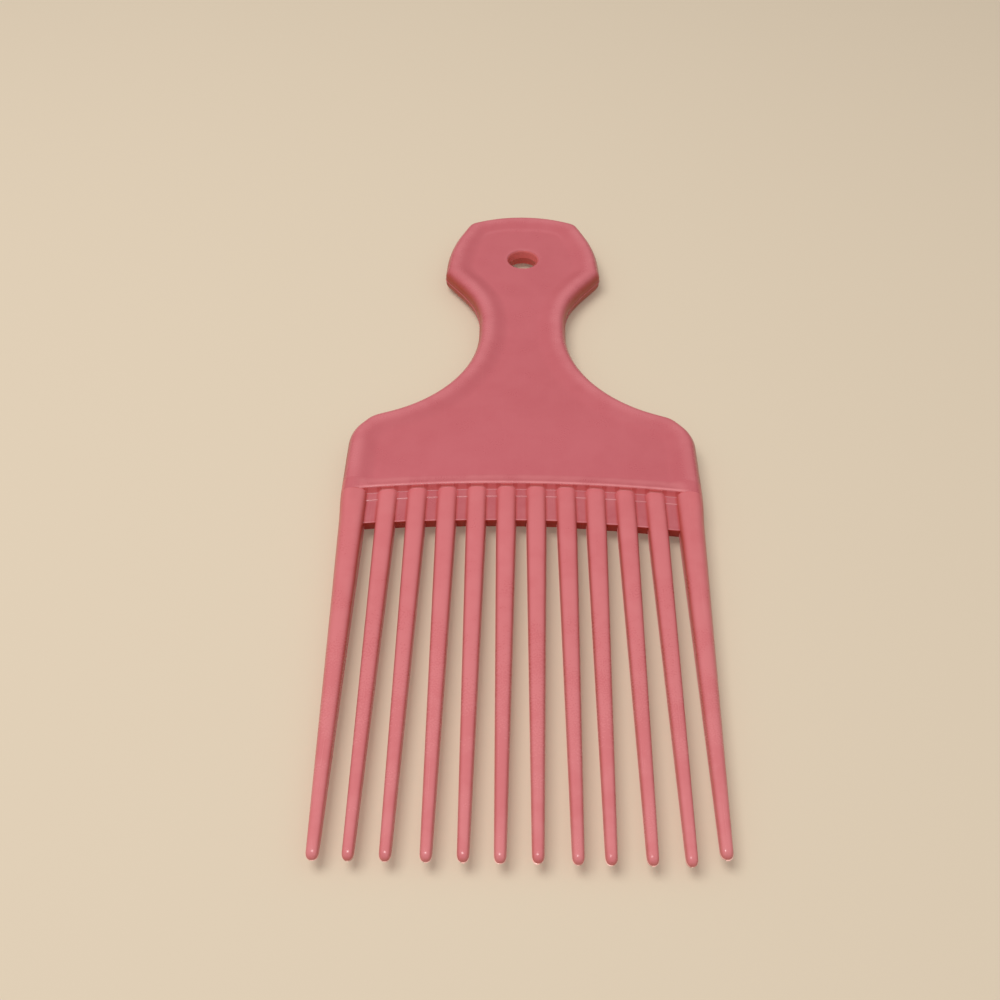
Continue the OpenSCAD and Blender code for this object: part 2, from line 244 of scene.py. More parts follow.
class NodeSketch:
    """Adds shader nodes to one tree, and links them, with short calls."""

    def __init__(self, tree: bpy.types.NodeTree) -> None:
        """Keeps the tree that the nodes go into."""
        self.tree = tree

    def add(self, kind: str, **settings: object) -> bpy.types.Node:
        """Adds a node and sets its properties by name.

        Args:
            kind: The node's type.
            settings: Its properties.

        Returns:
            The new node.
        """
        node = self.tree.nodes.new(kind)
        for name, value in settings.items():
            setattr(node, name, value)
        return node

    def feed(self, socket: bpy.types.NodeSocket, value: object) -> None:
        """Links a socket, or sets its value where no socket is given.

        Args:
            socket: The socket to feed.
            value: The socket that it is linked to, or its value.
        """
        if isinstance(value, bpy.types.NodeSocket):
            self.tree.links.new(value, socket)
        else:
            socket.default_value = value

    def place(self, scale: tuple[float, float, float], turn_deg: float = 0.0) -> bpy.types.NodeSocket:
        """Object coordinates, turned about Z and scaled.

        Args:
            scale: Scale along each axis, per metre.
            turn_deg: Turn about Z.

        Returns:
            The socket with the coordinates.
        """
        place = self.add("ShaderNodeTexCoord")
        mapping = self.add("ShaderNodeMapping")
        self.feed(mapping.inputs["Vector"], place.outputs["Object"])
        mapping.inputs["Rotation"].default_value = (0.0, 0.0, math.radians(turn_deg))
        mapping.inputs["Scale"].default_value = scale
        return mapping.outputs[0]

    def noise(
        self, coordinates: bpy.types.NodeSocket, detail: float, rough: float
    ) -> bpy.types.NodeSocket:
        """Noise with one cell per unit of the coordinates.

        Args:
            coordinates: The socket with the coordinates.
            detail: How many finer layers it has.
            rough: How strong the finer layers are.

        Returns:
            The socket with the noise, mostly from 0.3 to 0.7.
        """
        node = self.add("ShaderNodeTexNoise")
        self.feed(node.inputs["Vector"], coordinates)
        node.inputs["Scale"].default_value = 1.0
        node.inputs["Detail"].default_value = detail
        node.inputs["Roughness"].default_value = rough
        return node.outputs[0]

    def even_noise(self, size: float, detail: float, rough: float) -> bpy.types.NodeSocket:
        """Noise with cells of one size in all directions."""
        return self.noise(self.place((1 / size,) * 3), detail, rough)

    def remap(self, value: object, span: Span, to: Span) -> bpy.types.NodeSocket:
        """Maps a range softly to another one, and holds it at the ends.

        Args:
            value: The number or socket to map.
            span: The range that it has.
            to: The range that it gets.

        Returns:
            The socket with the mapped number.
        """
        node = self.add("ShaderNodeMapRange", clamp=True, interpolation_type="SMOOTHSTEP")
        self.feed(node.inputs["Value"], value)
        for name, number in zip(("From Min", "From Max", "To Min", "To Max"), (*span, *to)):
            node.inputs[name].default_value = number
        return node.outputs[0]

    def math(self, operation: str, a: object, b: object) -> bpy.types.NodeSocket:
        """One sum of two numbers or sockets.

        Args:
            operation: Name of the sum.
            a: The first number or socket.
            b: The second number or socket.

        Returns:
            The socket with the result.
        """
        node = self.add("ShaderNodeMath", operation=operation)
        self.feed(node.inputs[0], a)
        self.feed(node.inputs[1], b)
        return node.outputs[0]

    def blend(self, share: object, a: object, b: object) -> bpy.types.NodeSocket:
        """Mixes two colours.

        Args:
            share: How much of the second colour, from 0 to 1.
            a: The first colour.
            b: The second colour.

        Returns:
            The socket with the mixed colour.
        """
        node = self.add("ShaderNodeMix", data_type="RGBA")
        self.feed(node.inputs[0], share)
        self.feed(node.inputs[6], a)
        self.feed(node.inputs[7], b)
        return node.outputs[2]


@dataclass(frozen=True)
class MouldedPlastic:
    """Semi-matte moulded plastic with faint flow marks, a fine grain, scratches and specks.

    Faces that stand up get painted light or painted shade by their steepness, a darker red on most
    finishes, standing in for the light that has passed through the plastic. A mesh's tones paint
    shade below 0; above 0 they make it rubbed and polished, with painted highlights, and above 1, on
    the flash, painted light. A share is how much of a colour is mixed in at most, and a span is the
    part of a value that is used.
    """

    name: str
    colour: Colour
    deep_colour: Colour
    # Mixed in for random patches, scratches and specks, and for rubbing with painted highlights where
    # tones are above 0.
    pale_marks_and_highlight_colour: Colour
    # Painted light or shade on faces that stand up, standing in for light that has passed through the
    # plastic.
    painted_flank_colour: Colour
    # Painted shade, where tones are below 0.
    painted_shade_colour: Colour = (0.42, 0.02, 0.008, 1.0)
    # Painted light on the flash, where tones are above 1.
    flash_glow_colour: Colour = (0.95, 0.6, 0.5, 1.0)
    flank_span: Span = (0.2, 0.88)
    roughness: float = 0.34
    roughness_spread: float = 0.06
    roughness_span: Span = (0.3, 0.7)
    ior: float = 1.49
    polish: float = 0.12
    # How much of the highlight colour the rubbed and highlighted places get, and how patchy they are.
    wear_and_highlight_share: float = 0.6
    wear_and_highlight_least: float = 0.6
    wear_and_highlight_span: Span = (0.36, 0.6)
    flow_size: float = 22.0 * MM
    flow_share: float = 0.55
    flow_span: Span = (0.32, 0.68)
    patch_size: float = 6.0 * MM
    patch_share: float = 0.12
    patch_span: Span = (0.35, 0.65)
    grain_size: float = 0.35 * MM
    grain_height: float = 0.0025 * MM
    grain_roughness: float = 0.03
    ripple_height: float = 0.02 * MM
    scratch_width: float = 0.22 * MM
    scratch_length: float = 14.0 * MM
    scratch_turns_deg: tuple[float, ...] = (12.0, -33.0, 71.0)
    scratch_share: float = 0.1
    scratch_span: Span = (0.71, 0.78)
    scratch_roughness: float = 0.05
    speck_spacing: float = 7.0 * MM
    speck_size: float = 0.245 * MM
    speck_share: float = 0.5
    speck_span: Span = (0.62, 0.66)
    speck_height: float = 0.01 * MM

    def material(self) -> bpy.types.Material:
        """The finish as a material, made once."""
        found = bpy.data.materials.get(self.name)
        return found or self.build()

    def scratches(self, sketch: NodeSketch) -> bpy.types.NodeSocket:
        """Faint hair scratches in a few directions.

        Args:
            sketch: The nodes that they are added to.

        Returns:
            The socket that is 1 on a scratch and 0 beside it.
        """
        scale = (1 / self.scratch_width, 1 / self.scratch_length, 1 / self.scratch_length)
        total: bpy.types.NodeSocket | float = 0.0
        for turn in self.scratch_turns_deg:
            lines = sketch.noise(sketch.place(scale, turn), detail=1.0, rough=0.4)
            total = sketch.math("MAXIMUM", total, sketch.remap(lines, self.scratch_span, (0.0, 1.0)))
        return total

    def specks(self, sketch: NodeSketch) -> bpy.types.NodeSocket:
        """A few tiny dust specks.

        Args:
            sketch: The nodes that they are added to.

        Returns:
            The socket that is 1 on a speck and 0 beside it.
        """
        cells = sketch.add("ShaderNodeTexVoronoi")
        sketch.feed(cells.inputs["Vector"], sketch.place((1 / self.speck_spacing,) * 3))
        cells.inputs["Scale"].default_value = 1.0
        reach = self.speck_size / self.speck_spacing
        near = sketch.remap(cells.outputs["Distance"], (0.0, reach), (1.0, 0.0))
        chosen = sketch.remap(cells.outputs["Color"], self.speck_span, (0.0, 1.0))
        return sketch.math("MULTIPLY", near, chosen)

    def flank(self, sketch: NodeSketch) -> bpy.types.NodeSocket:
        """How steep a face stands.

        Args:
            sketch: The nodes that this is added to.

        Returns:
            The socket that is 1 on an upright wall and 0 on a level face.
        """
        facing = sketch.add("ShaderNodeSeparateXYZ")
        sketch.feed(facing.inputs[0], sketch.add("ShaderNodeNewGeometry").outputs["Normal"])
        level = sketch.math("ABSOLUTE", facing.outputs["Z"], 0.0)
        return sketch.remap(level, self.flank_span, (1.0, 0.0))

    def gloss(
        self,
        sketch: NodeSketch,
        patch: bpy.types.NodeSocket,
        grain: bpy.types.NodeSocket,
        wear_and_highlight: bpy.types.NodeSocket,
        scratches: bpy.types.NodeSocket,
    ) -> bpy.types.NodeSocket:
        """The roughness, which the rubbed and highlighted places polish and scratches dull.

        Args:
            sketch: The nodes that this is added to.
            patch: The noise of the patches.
            grain: The noise of the grain.
            wear_and_highlight: How rubbed the plastic is, with its painted highlights.
            scratches: Where the scratches are.

        Returns:
            The socket with the roughness.
        """
        low, high = self.roughness - self.roughness_spread, self.roughness + self.roughness_spread
        patchy = sketch.remap(patch, self.roughness_span, (low, high))
        ends = (-self.grain_roughness, self.grain_roughness)
        grainy = sketch.math("ADD", patchy, sketch.remap(grain, self.roughness_span, ends))
        polished = sketch.math("SUBTRACT", grainy, sketch.math("MULTIPLY", wear_and_highlight, self.polish))
        dull = sketch.math("MULTIPLY", scratches, self.scratch_roughness)
        return sketch.math("ADD", polished, dull)

    def build(self) -> bpy.types.Material:
        """Builds the material's nodes.

        Returns:
            The new material.
        """
        material = bpy.data.materials.new(self.name)
        material.use_nodes = True
        material.diffuse_color = self.colour
        sketch = NodeSketch(material.node_tree)
        shader = material.node_tree.nodes["Principled BSDF"]
        flow = sketch.even_noise(self.flow_size, detail=3.0, rough=0.5)
        patch = sketch.even_noise(self.patch_size, detail=4.0, rough=0.55)
        grain = sketch.even_noise(self.grain_size, detail=3.0, rough=0.6)
        scratches, specks = self.scratches(sketch), self.specks(sketch)
        tone = sketch.add("ShaderNodeAttribute", attribute_name="tone").outputs["Fac"]
        # Above 0 the tones mark rubbed places and painted highlights.
        worn_and_lit = sketch.math("MINIMUM", sketch.math("MAXIMUM", tone, 0.0), 1.0)
        patchy = sketch.remap(patch, self.wear_and_highlight_span, (self.wear_and_highlight_least, 1.0))
        wear_and_highlight = sketch.math("MULTIPLY", worn_and_lit, patchy)
        # Below 0 the tones mark painted shade, and above 1 painted light on the flash.
        painted_shade = sketch.math("MAXIMUM", sketch.math("MULTIPLY", tone, -1.0), 0.0)
        flash_glow = sketch.math("MAXIMUM", sketch.math("SUBTRACT", tone, 1.0), 0.0)

        layers = (
            (sketch.remap(flow, self.flow_span, (0.0, self.flow_share)), self.deep_colour),
            (sketch.remap(patch, self.patch_span, (0.0, self.patch_share)), self.pale_marks_and_highlight_colour),
            # Painted light or shade by how steep the face stands.
            (self.flank(sketch), self.painted_flank_colour),
            # Painted shade.
            (painted_shade, self.painted_shade_colour),
            # Rubbing with painted highlights.
            (sketch.math("MULTIPLY", wear_and_highlight, self.wear_and_highlight_share), self.pale_marks_and_highlight_colour),
            # Painted light on the flash.
            (flash_glow, self.flash_glow_colour),
            (sketch.math("MULTIPLY", scratches, self.scratch_share), self.pale_marks_and_highlight_colour),
            (sketch.math("MULTIPLY", specks, self.speck_share), self.pale_marks_and_highlight_colour),
        )
        colour: bpy.types.NodeSocket | Colour = self.colour
        for share, other in layers:
            colour = sketch.blend(share, colour, other)
        sketch.feed(shader.inputs["Base Color"], colour)
        roughness = self.gloss(sketch, patch, grain, wear_and_highlight, scratches)
        sketch.feed(shader.inputs["Roughness"], roughness)
        shader.inputs["IOR"].default_value = self.ior

        height = sketch.math("MULTIPLY", flow, self.ripple_height)
        height = sketch.math("ADD", height, sketch.math("MULTIPLY", grain, self.grain_height))
        height = sketch.math("ADD", height, sketch.math("MULTIPLY", specks, self.speck_height))
        bump = sketch.add("ShaderNodeBump")
        bump.inputs["Strength"].default_value = 1.0
        bump.inputs["Distance"].default_value = 1.0
        sketch.feed(bump.inputs["Height"], height)
        sketch.feed(shader.inputs["Normal"], bump.outputs[0])
        return material


HANDLE_FINISH = MouldedPlastic(
    name="handle_plastic",
    colour=(0.535, 0.117, 0.137, 1.0),
    deep_colour=(0.495, 0.1, 0.117, 1.0),
    pale_marks_and_highlight_colour=(0.64, 0.185, 0.205, 1.0),
    # Painted shade: walls that stand up turn a darker red.
    painted_flank_colour=(0.37, 0.045, 0.022, 1.0),
)
# Painted light on the hole's wall, which stands up.
PANEL_FINISH = replace(HANDLE_FINISH, name="panel_plastic", painted_flank_colour=(0.8, 0.19, 0.18, 1.0))
RIB_FINISH = replace(
    HANDLE_FINISH,
    name="rib_plastic",
    # A brighter painted highlight on the rib's crest, and painted light on its front face.
    pale_marks_and_highlight_colour=(0.8, 0.285, 0.295, 1.0),
    painted_flank_colour=(0.92, 0.21, 0.215, 1.0),
)
TINE_FINISH = MouldedPlastic(
    name="tine_plastic",
    colour=(0.61, 0.146, 0.16, 1.0),
    deep_colour=(0.57, 0.126, 0.138, 1.0),
    pale_marks_and_highlight_colour=(0.72, 0.24, 0.25, 1.0),
    # Painted shade: the tines' flanks turn a darker red.
    painted_flank_colour=(0.52, 0.078, 0.055, 1.0),
    roughness=0.38,
    polish=0.2,
    ripple_height=0.01 * MM,
)
WEB_FINISH = MouldedPlastic(
    name="web_plastic",
    colour=(0.475, 0.104, 0.12, 1.0),
    deep_colour=(0.435, 0.088, 0.102, 1.0),
    # Painted highlight lines on the ledge and the free edge, and painted light on the steep faces.
    pale_marks_and_highlight_colour=(0.78, 0.32, 0.33, 1.0),
    painted_flank_colour=(0.74, 0.145, 0.15, 1.0),
    ripple_height=0.01 * MM,
)


# The pick


@dataclass
class PickSizes:
    """Sizes that more than one sub-assembly needs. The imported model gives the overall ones."""

    width: float
    top_y: float
    mid_z: float
    rib_back_y: float
    rib_w: float = 3.0 * MM
    rib_bow_h: float = 2.3 * MM
    dish_depth: float = 0.95 * MM
    seam_overlap: float = 0.3 * MM

    @classmethod
    def from_frame(cls) -> "PickSizes":
        """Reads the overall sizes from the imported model.

        Returns:
            The sizes.
        """
        low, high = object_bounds()
        rib_back_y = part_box("cross_rib")[1].y
        return cls(high.x - low.x, high.y, (low.z + high.z) / 2, rib_back_y)

    @property
    def half_w(self) -> float:
        """Half of the overall width."""
        return self.width / 2

    @property
    def panel_z(self) -> float:
        """Height of the panel's face above the middle plane."""
        return self.mid_z - self.dish_depth

    @property
    def root_y(self) -> float:
        """Y of the rib's front wall in the middle of the pick."""
        return self.rib_back_y - self.rib_w

    def bow(self, x: float) -> float:
        """Y of the rib's front wall at x, measured from its middle, so 0 or less."""
        radius = (self.half_w**2 + self.rib_bow_h**2) / (2 * self.rib_bow_h)
        return math.sqrt(radius**2 - x**2) - radius

    def wall(self, x: float) -> float:
        """Y of the rib's front wall at x."""
        return self.root_y + self.bow(x)


@dataclass
class Corner:
    """One corner of the handle's outline."""

    x: float
    y: float
    radius: float
    steps: int


@dataclass
class HandleOutline:
    """The handle's outline: its right half as corners with radii, mirrored to the left.

    Widths are full ones, except for the cut of one shoulder. Drops are measured down from the top.
    """

    sizes: PickSizes
    shoulder_l: float = 15.0 * MM
    shoulder_cut_w: float = 4.0 * MM
    shoulder_cut_l: float = 4.8 * MM
    shoulder_side_r: float = 9.0 * MM
    shoulder_top_r: float = 6.0 * MM
    flare_l: float = 8.4 * MM
    flare_r: float = 28.5 * MM
    neck_w: float = 19.6 * MM
    neck_drop: float = 37.0 * MM
    neck_r: float = 20.0 * MM
    cheek_w: float = 28.2 * MM
    cheek_drop: float = 30.1 * MM
    cheek_r: float = 12.0 * MM
    grip_w: float = 37.0 * MM
    grip_drop: float = 24.1 * MM
    grip_r: float = 1.8 * MM
    brow_w: float = 35.9 * MM
    brow_drop: float = 13.7 * MM
    brow_r: float = 35.0 * MM
    top_w: float = 27.0 * MM
    top_drop: float = 3.2 * MM
    top_r: float = 3.5 * MM
    crown_w: float = 12.9 * MM
    crown_r: float = 30.0 * MM
    soften_share: float = 0.6
    fit_share: float = 0.98
    fineness: int = 4

    def __post_init__(self) -> None:
        """Lists the corners from the shoulder to the crown."""
        half_w, top = self.sizes.half_w, self.sizes.top_y
        shoulder_y = self.sizes.root_y + self.shoulder_l
        flare_y = shoulder_y + self.shoulder_cut_l
        self.corners = [
            Corner(half_w, shoulder_y, self.shoulder_side_r, steps=4),
            Corner(half_w - self.shoulder_cut_w, flare_y, self.shoulder_top_r, steps=3),
            Corner(self.neck_w / 2, flare_y + self.flare_l, self.flare_r, steps=12),
            Corner(self.neck_w / 2, top - self.neck_drop, self.neck_r, steps=6),
            Corner(self.cheek_w / 2, top - self.cheek_drop, self.cheek_r, steps=2),
            Corner(self.grip_w / 2, top - self.grip_drop, self.grip_r, steps=4),
            Corner(self.brow_w / 2, top - self.brow_drop, self.brow_r, steps=4),
            Corner(self.top_w / 2, top - self.top_drop, self.top_r, steps=4),
            Corner(self.crown_w / 2, top, self.crown_r, steps=5),
        ]

    def control(self, i: int) -> np.ndarray:
        """Place of one corner of the outline.

        Args:
            i: The corner's number, or one less or more for the points before and after them all.

        Returns:
            The place.
        """
        if i < 0:
            return np.array([self.sizes.half_w, self.sizes.root_y])
        if i >= len(self.corners):
            return self.control(i - 1) * [-1, 1]
        return np.array([self.corners[i].x, self.corners[i].y])

    def inset_point(self, i: int, inset: float) -> np.ndarray:
        """Corner i moved onto the line that runs inside the outline.

        Args:
            i: The corner's number.
            inset: How far inside the outline the line runs.

        Returns:
            The moved corner.
        """
        if i < 0:
            return self.control(i) - [inset, 0.0]
        if i >= len(self.corners):
            return self.inset_point(i - 1, inset) * [-1, 1]
        n = inward(self.control(i - 1), self.control(i))
        m = inward(self.control(i), self.control(i + 1))
        return self.control(i) + inset * (n + m) / (1 + n @ m)

    def bend(self, i: int, inset: float) -> tuple[np.ndarray, np.ndarray, float, float, float]:
        """How the line inside the outline bends at corner i.

        Args:
            i: The corner's number.
            inset: How far inside the outline the line runs.

        Returns:
            The directions back and on, half the angle between them, 1 where the outline is convex
            or else -1, and the run that the corner's radius needs on each side.
        """
        point = self.inset_point(i, inset)
        back = unit(self.inset_point(i - 1, inset) - point)
        on = unit(self.inset_point(i + 1, inset) - point)
        half = math.acos(float(back @ on)) / 2
        side = math.copysign(1.0, on[0] * back[1] - on[1] * back[0])
        radius = self.corners[i].radius
        if side > 0:
            wanted = max(radius - inset, min(radius, self.grip_r) + self.soften_share * inset)
        else:
            wanted = radius + inset
        return back, on, half, side, wanted / math.tan(half)

    def run(self, i: int, inset: float) -> float:
        """The run that corner i needs on each side."""
        return 0.0 if i < 0 else self.bend(min(i, len(self.corners) - 1), inset)[4]

    def room(self, i: int, inset: float) -> float:
        """The part of the runs of corners i and i + 1 that fits between them."""
        gap = np.linalg.norm(self.inset_point(i + 1, inset) - self.inset_point(i, inset))
        return min(1.0, self.fit_share * gap / (self.run(i, inset) + self.run(i + 1, inset)))

    def arc(self, i: int, inset: float) -> list[np.ndarray]:
        """Rounds corner i on the line inside the outline.

        Args:
            i: The corner's number.
            inset: How far inside the outline the line runs.

        Returns:
            The points of the rounded corner.
        """
        point = self.inset_point(i, inset)
        back, on, half, side, full = self.bend(i, inset)
        run = full * min(self.room(i - 1, inset), self.room(i, inset))
        radius = run * math.tan(half)
        centre = point + unit(back + on) * radius / math.sin(half)
        start = point + back * run - centre
        first = math.atan2(start[1], start[0])
        steps = self.corners[i].steps * self.fineness
        turns = first + side * (math.pi - 2 * half) * np.arange(steps + 1) / steps
        return [centre + radius * np.array([math.cos(a), math.sin(a)]) for a in turns]

    def line(self, inset: float) -> np.ndarray:
        """The line inside the outline, from the right foot over the crown to the left one.

        Args:
            inset: How far inside the outline the line runs.

        Returns:
            The line's points.
        """
        foot_x = self.sizes.half_w - inset
        half = [np.array([foot_x, self.sizes.wall(foot_x) + self.sizes.rib_w])]
        for i in range(len(self.corners)):
            half.extend(self.arc(i, inset))
        return np.array(half + [p * [-1, 1] for p in reversed(half)])


@dataclass
class HandleRim:
    """The rounded rim round the shoulders, the neck and the grip, with its slope to the panel.

    Its side also carries on over the ends of the rib and along the guard tines.
    """

    sizes: PickSizes
    outline: HandleOutline
    crest_in: float = 2.0 * MM
    crest_flat: float = 0.4 * MM
    slope_w: float = 4.3 * MM
    land_t: float = 0.24 * MM
    side_power: float = 2.05
    side_from: float = 4.6 * MM
    side_fade: float = 2.6 * MM
    flash_w: float = 0.1 * MM
    flash_t: float = 0.13 * MM
    # Painted light along the parting line's flash, brightest on its edge.
    flash_tones: tuple[float, float] = (0.2, 1.0)
    # Painted shade on the lower part of the side.
    shade_rise: float = 0.7
    shade_tone: float = 0.7
    bead_h: float = 0.06 * MM
    # Painted highlight along the bead.
    bead_tone: float = 0.45
    bead_w: float = 0.8 * MM
    bead_from: float = 11.0 * MM
    bead_fade: float = 4.5 * MM
    side_steps: int = 14
    crest_steps: int = 3
    slope_steps: int = 30

    @property
    def width(self) -> float:
        """Width of the rim from the outline to the panel."""
        return self.crest_in + self.crest_flat + self.slope_w

    def side_share(self, inset: float) -> float:
        """How much the rim's side shapes the rib and the guard tines at an inset from the outline."""
        return float(eased((self.side_from - inset) / self.side_fade))

    def height(self, inset: float) -> float:
        """Height of the rim's surface.

        Args:
            inset: Distance inside the outline.

        Returns:
            The height above the middle plane.
        """
        half_t, land = self.sizes.mid_z, self.land_t / 2
        if inset < self.crest_in:
            share = max(0.0, 1 - inset / self.crest_in)
            return land + (half_t - land) * (1 - share**self.side_power) ** (1 / self.side_power)
        share = (inset - self.crest_in - self.crest_flat) / self.slope_w
        return half_t - self.sizes.dish_depth * float(eased(share))

    def section(self) -> list[tuple[float, float, float]]:
        """The upper half of the section, from the panel out to the edge.

        Returns:
            The inset, height and tone of each point.
        """
        steps, flat_steps = self.slope_steps, self.crest_steps
        slope = [self.crest_in + self.crest_flat + self.slope_w * k / steps for k in range(steps + 1)]
        crest = [self.crest_in + self.crest_flat * k / flat_steps for k in range(flat_steps)]
        turns = [math.pi / 2 * k / self.side_steps for k in range(self.side_steps + 1)]
        side = [self.crest_in * (1 - math.cos(a) ** (2 / self.side_power)) for a in turns]
        insets = list(reversed(slope)) + list(reversed(crest)) + list(reversed(side[:-1]))
        middle = self.crest_in + self.crest_flat / 2
        rows = []
        for inset in insets:
            height = self.height(inset)
            # Rubbing with a painted highlight on the crest, and painted shade lower on the side.
            worn_and_lit = float(eased(1 - abs(inset - middle) / middle))
            shade_share = float(eased(1 - height / (self.shade_rise * self.sizes.mid_z))) * (inset < middle)
            rows.append((max(inset, self.flash_w), height, worn_and_lit - self.shade_tone * shade_share))
        return rows

    def bead(self, inset: float, y: float) -> float:
        """Height of the faint bead that runs along the foot of the slope round the grip's top.

        Args:
            inset: Distance inside the outline.
            y: Place along the pick.

        Returns:
            How far the bead stands out of the rim's surface.
        """
        near = eased(1 - abs(self.width - self.bead_w - inset) / self.bead_w)
        along = eased((y - self.sizes.top_y + self.bead_from) / self.bead_fade)
        return self.bead_h * float(near * along)

    def build(self) -> bpy.types.Object:
        """Builds the rim as sections along the outline.

        Returns:
            The rim's object.
        """
        upper = self.section()
        # Painted light on the flash, brightest on its edge.
        foot_tone, edge_tone = self.flash_tones
        flash = [
            (self.flash_w, self.flash_t / 2, foot_tone),
            (0.0, 0.0, edge_tone),
            (self.flash_w, -self.flash_t / 2, foot_tone),
        ]
        lower = [(inset, -height, tone) for inset, height, tone in reversed(upper)]
        section = upper + flash + lower
        lines = [self.outline.line(inset) for inset, _, _ in section]
        rings, tones = [], []
        for j in range(len(lines[0])):
            ring, shades = [], []
            for line, (inset, height, tone) in zip(lines, section):
                x, y = line[j]
                bead = self.bead(inset, y)
                ring.append((x, y, self.sizes.mid_z + height + math.copysign(bead, height)))
                # Painted highlight along the bead.
                shades.append(tone + self.bead_tone * bead / self.bead_h)
            rings.append(ring)
            tones.append(shades)
        draft = MeshDraft("rounded_rim")
        draft.add_rings(np.array(rings), np.array(tones))
        return draft.finish(sharp_deg=38.0)


@dataclass
class HandlePanel:
    """The flat dished panel inside the rim, with the hanging hole."""

    sizes: PickSizes
    outline: HandleOutline
    rim: HandleRim
    hole_d: float = 6.8 * MM
    hole_drop: float = 17.9 * MM
    hole_lip: float = 0.5 * MM
    hole_lip_h: float = 0.8 * MM
    hole_draft: float = 0.12 * MM
    hole_draft_left: float = 0.25
    hole_flash_t: float = 0.1 * MM
    # Tones in the hole: painted light on the upper lip, and painted shade inside, darker in the lower
    # half.
    hole_lip_tone: float = 0.3
    hole_shade_tones: tuple[float, float] = (-0.08, -0.7)
    hole_wall_tone: float = -0.45
    hole_flash_tone: float = -0.1
    collar_w: float = 0.9 * MM
    hole_steps: int = 96
    lip_steps: int = 10
    seam_steps: int = 60

    def edge(self) -> np.ndarray:
        """The rim's inner line, closed along the rib and tucked a little under it.

        Returns:
            The points of the panel's outline.
        """
        inner = self.outline.line(self.rim.width)
        xs = np.linspace(inner[-1][0], inner[0][0], self.seam_steps)
        seam = [(x, self.sizes.wall(x) + self.sizes.rib_w - self.sizes.seam_overlap) for x in xs]
        return np.vstack([inner, seam])

    def hole_half(self, shade_tone: float) -> list[tuple[float, float, float]]:
        """The rings from the collar on a face to the flash in the hole's middle.

        Args:
            shade_tone: Tone that the lip reaches inside the hole.

        Returns:
            The radius, height above the middle plane and tone of each ring.
        """
        radius, face = self.hole_d / 2, self.sizes.panel_z
        wall = radius + self.hole_draft
        rows = [(wall + self.hole_lip + self.collar_w, face, 0.0)]
        for k in range(self.lip_steps + 1):
            turn, share = math.pi / 2 * k / self.lip_steps, float(eased(k / self.lip_steps))
            reach, drop = self.hole_lip * (1 - math.sin(turn)), self.hole_lip_h * (1 - math.cos(turn))
            # From painted light at the lip's top to painted shade inside the hole.
            tone = self.hole_lip_tone + (shade_tone - self.hole_lip_tone) * share
            rows.append((wall + reach, face - drop, tone))
        wall_tone = (shade_tone + self.hole_wall_tone) / 2
        rows.append((radius + self.hole_draft * self.hole_draft_left, self.hole_flash_t, wall_tone))
        return rows

    def hole_rings(self) -> list[tuple[float, float, float]]:
        """The rings from the upper face down through the hole.

        Returns:
            The radius, height above the middle plane and tone of each ring.
        """
        upper, lower = (self.hole_half(tone) for tone in self.hole_shade_tones)
        middle = [(self.hole_d / 2, 0.0, self.hole_flash_tone)]
        return upper + middle + [(r, -z, tone) for r, z, tone in reversed(lower)]

    def build(self) -> bpy.types.Object:
        """Builds both faces round the hole, the hole's wall and the outer wall.

        Returns:
            The panel's object.
        """
        shape = bmesh.new()
        tone = shape.verts.layers.float.new("tone")
        mid_z, centre_y = self.sizes.mid_z, self.sizes.top_y - self.hole_drop
        edge = self.edge()
        outer = {}
        for side in (1, -1):
            z = mid_z + side * self.sizes.panel_z
            outer[side] = [shape.verts.new((*p, z)) for p in edge]
        turns = 2 * math.pi * np.arange(self.hole_steps) / self.hole_steps
        rings = []
        for radius, height, shade in self.hole_rings():
            ring = [
                shape.verts.new((radius * math.cos(a), centre_y + radius * math.sin(a), mid_z + height))
                for a in turns
            ]
            for vert in ring:
                vert[tone] = shade
            rings.append(ring)
        for upper, lower in zip(rings, rings[1:]):
            self.join(shape, upper, lower)
        self.join(shape, outer[1], outer[-1])
        for side, ring in ((1, rings[0]), (-1, rings[-1])):
            edges = [*self.loop_edges(shape, outer[side]), *self.loop_edges(shape, ring)]
            bmesh.ops.triangle_fill(shape, use_beauty=True, use_dissolve=False, edges=edges)
        return smooth_object("grip_panel", shape, sharp_deg=38.0)

    @staticmethod
    def join(
        shape: bmesh.types.BMesh, a: list[bmesh.types.BMVert], b: list[bmesh.types.BMVert]
    ) -> None:
        """Joins two closed loops with a strip of faces.

        Args:
            shape: The shape that the faces are added to.
            a: The first loop.
            b: The second loop, with as many points.
        """
        for j, here in enumerate(a):
            k = (j + 1) % len(a)
            shape.faces.new((here, a[k], b[k], b[j]))

    @staticmethod
    def loop_edges(
        shape: bmesh.types.BMesh, loop: list[bmesh.types.BMVert]
    ) -> list[bmesh.types.BMEdge]:
        """The edges of a closed loop of points."""
        pairs = zip(loop, loop[1:] + loop[:1])
        return [shape.edges.get(pair) or shape.edges.new(pair) for pair in pairs]


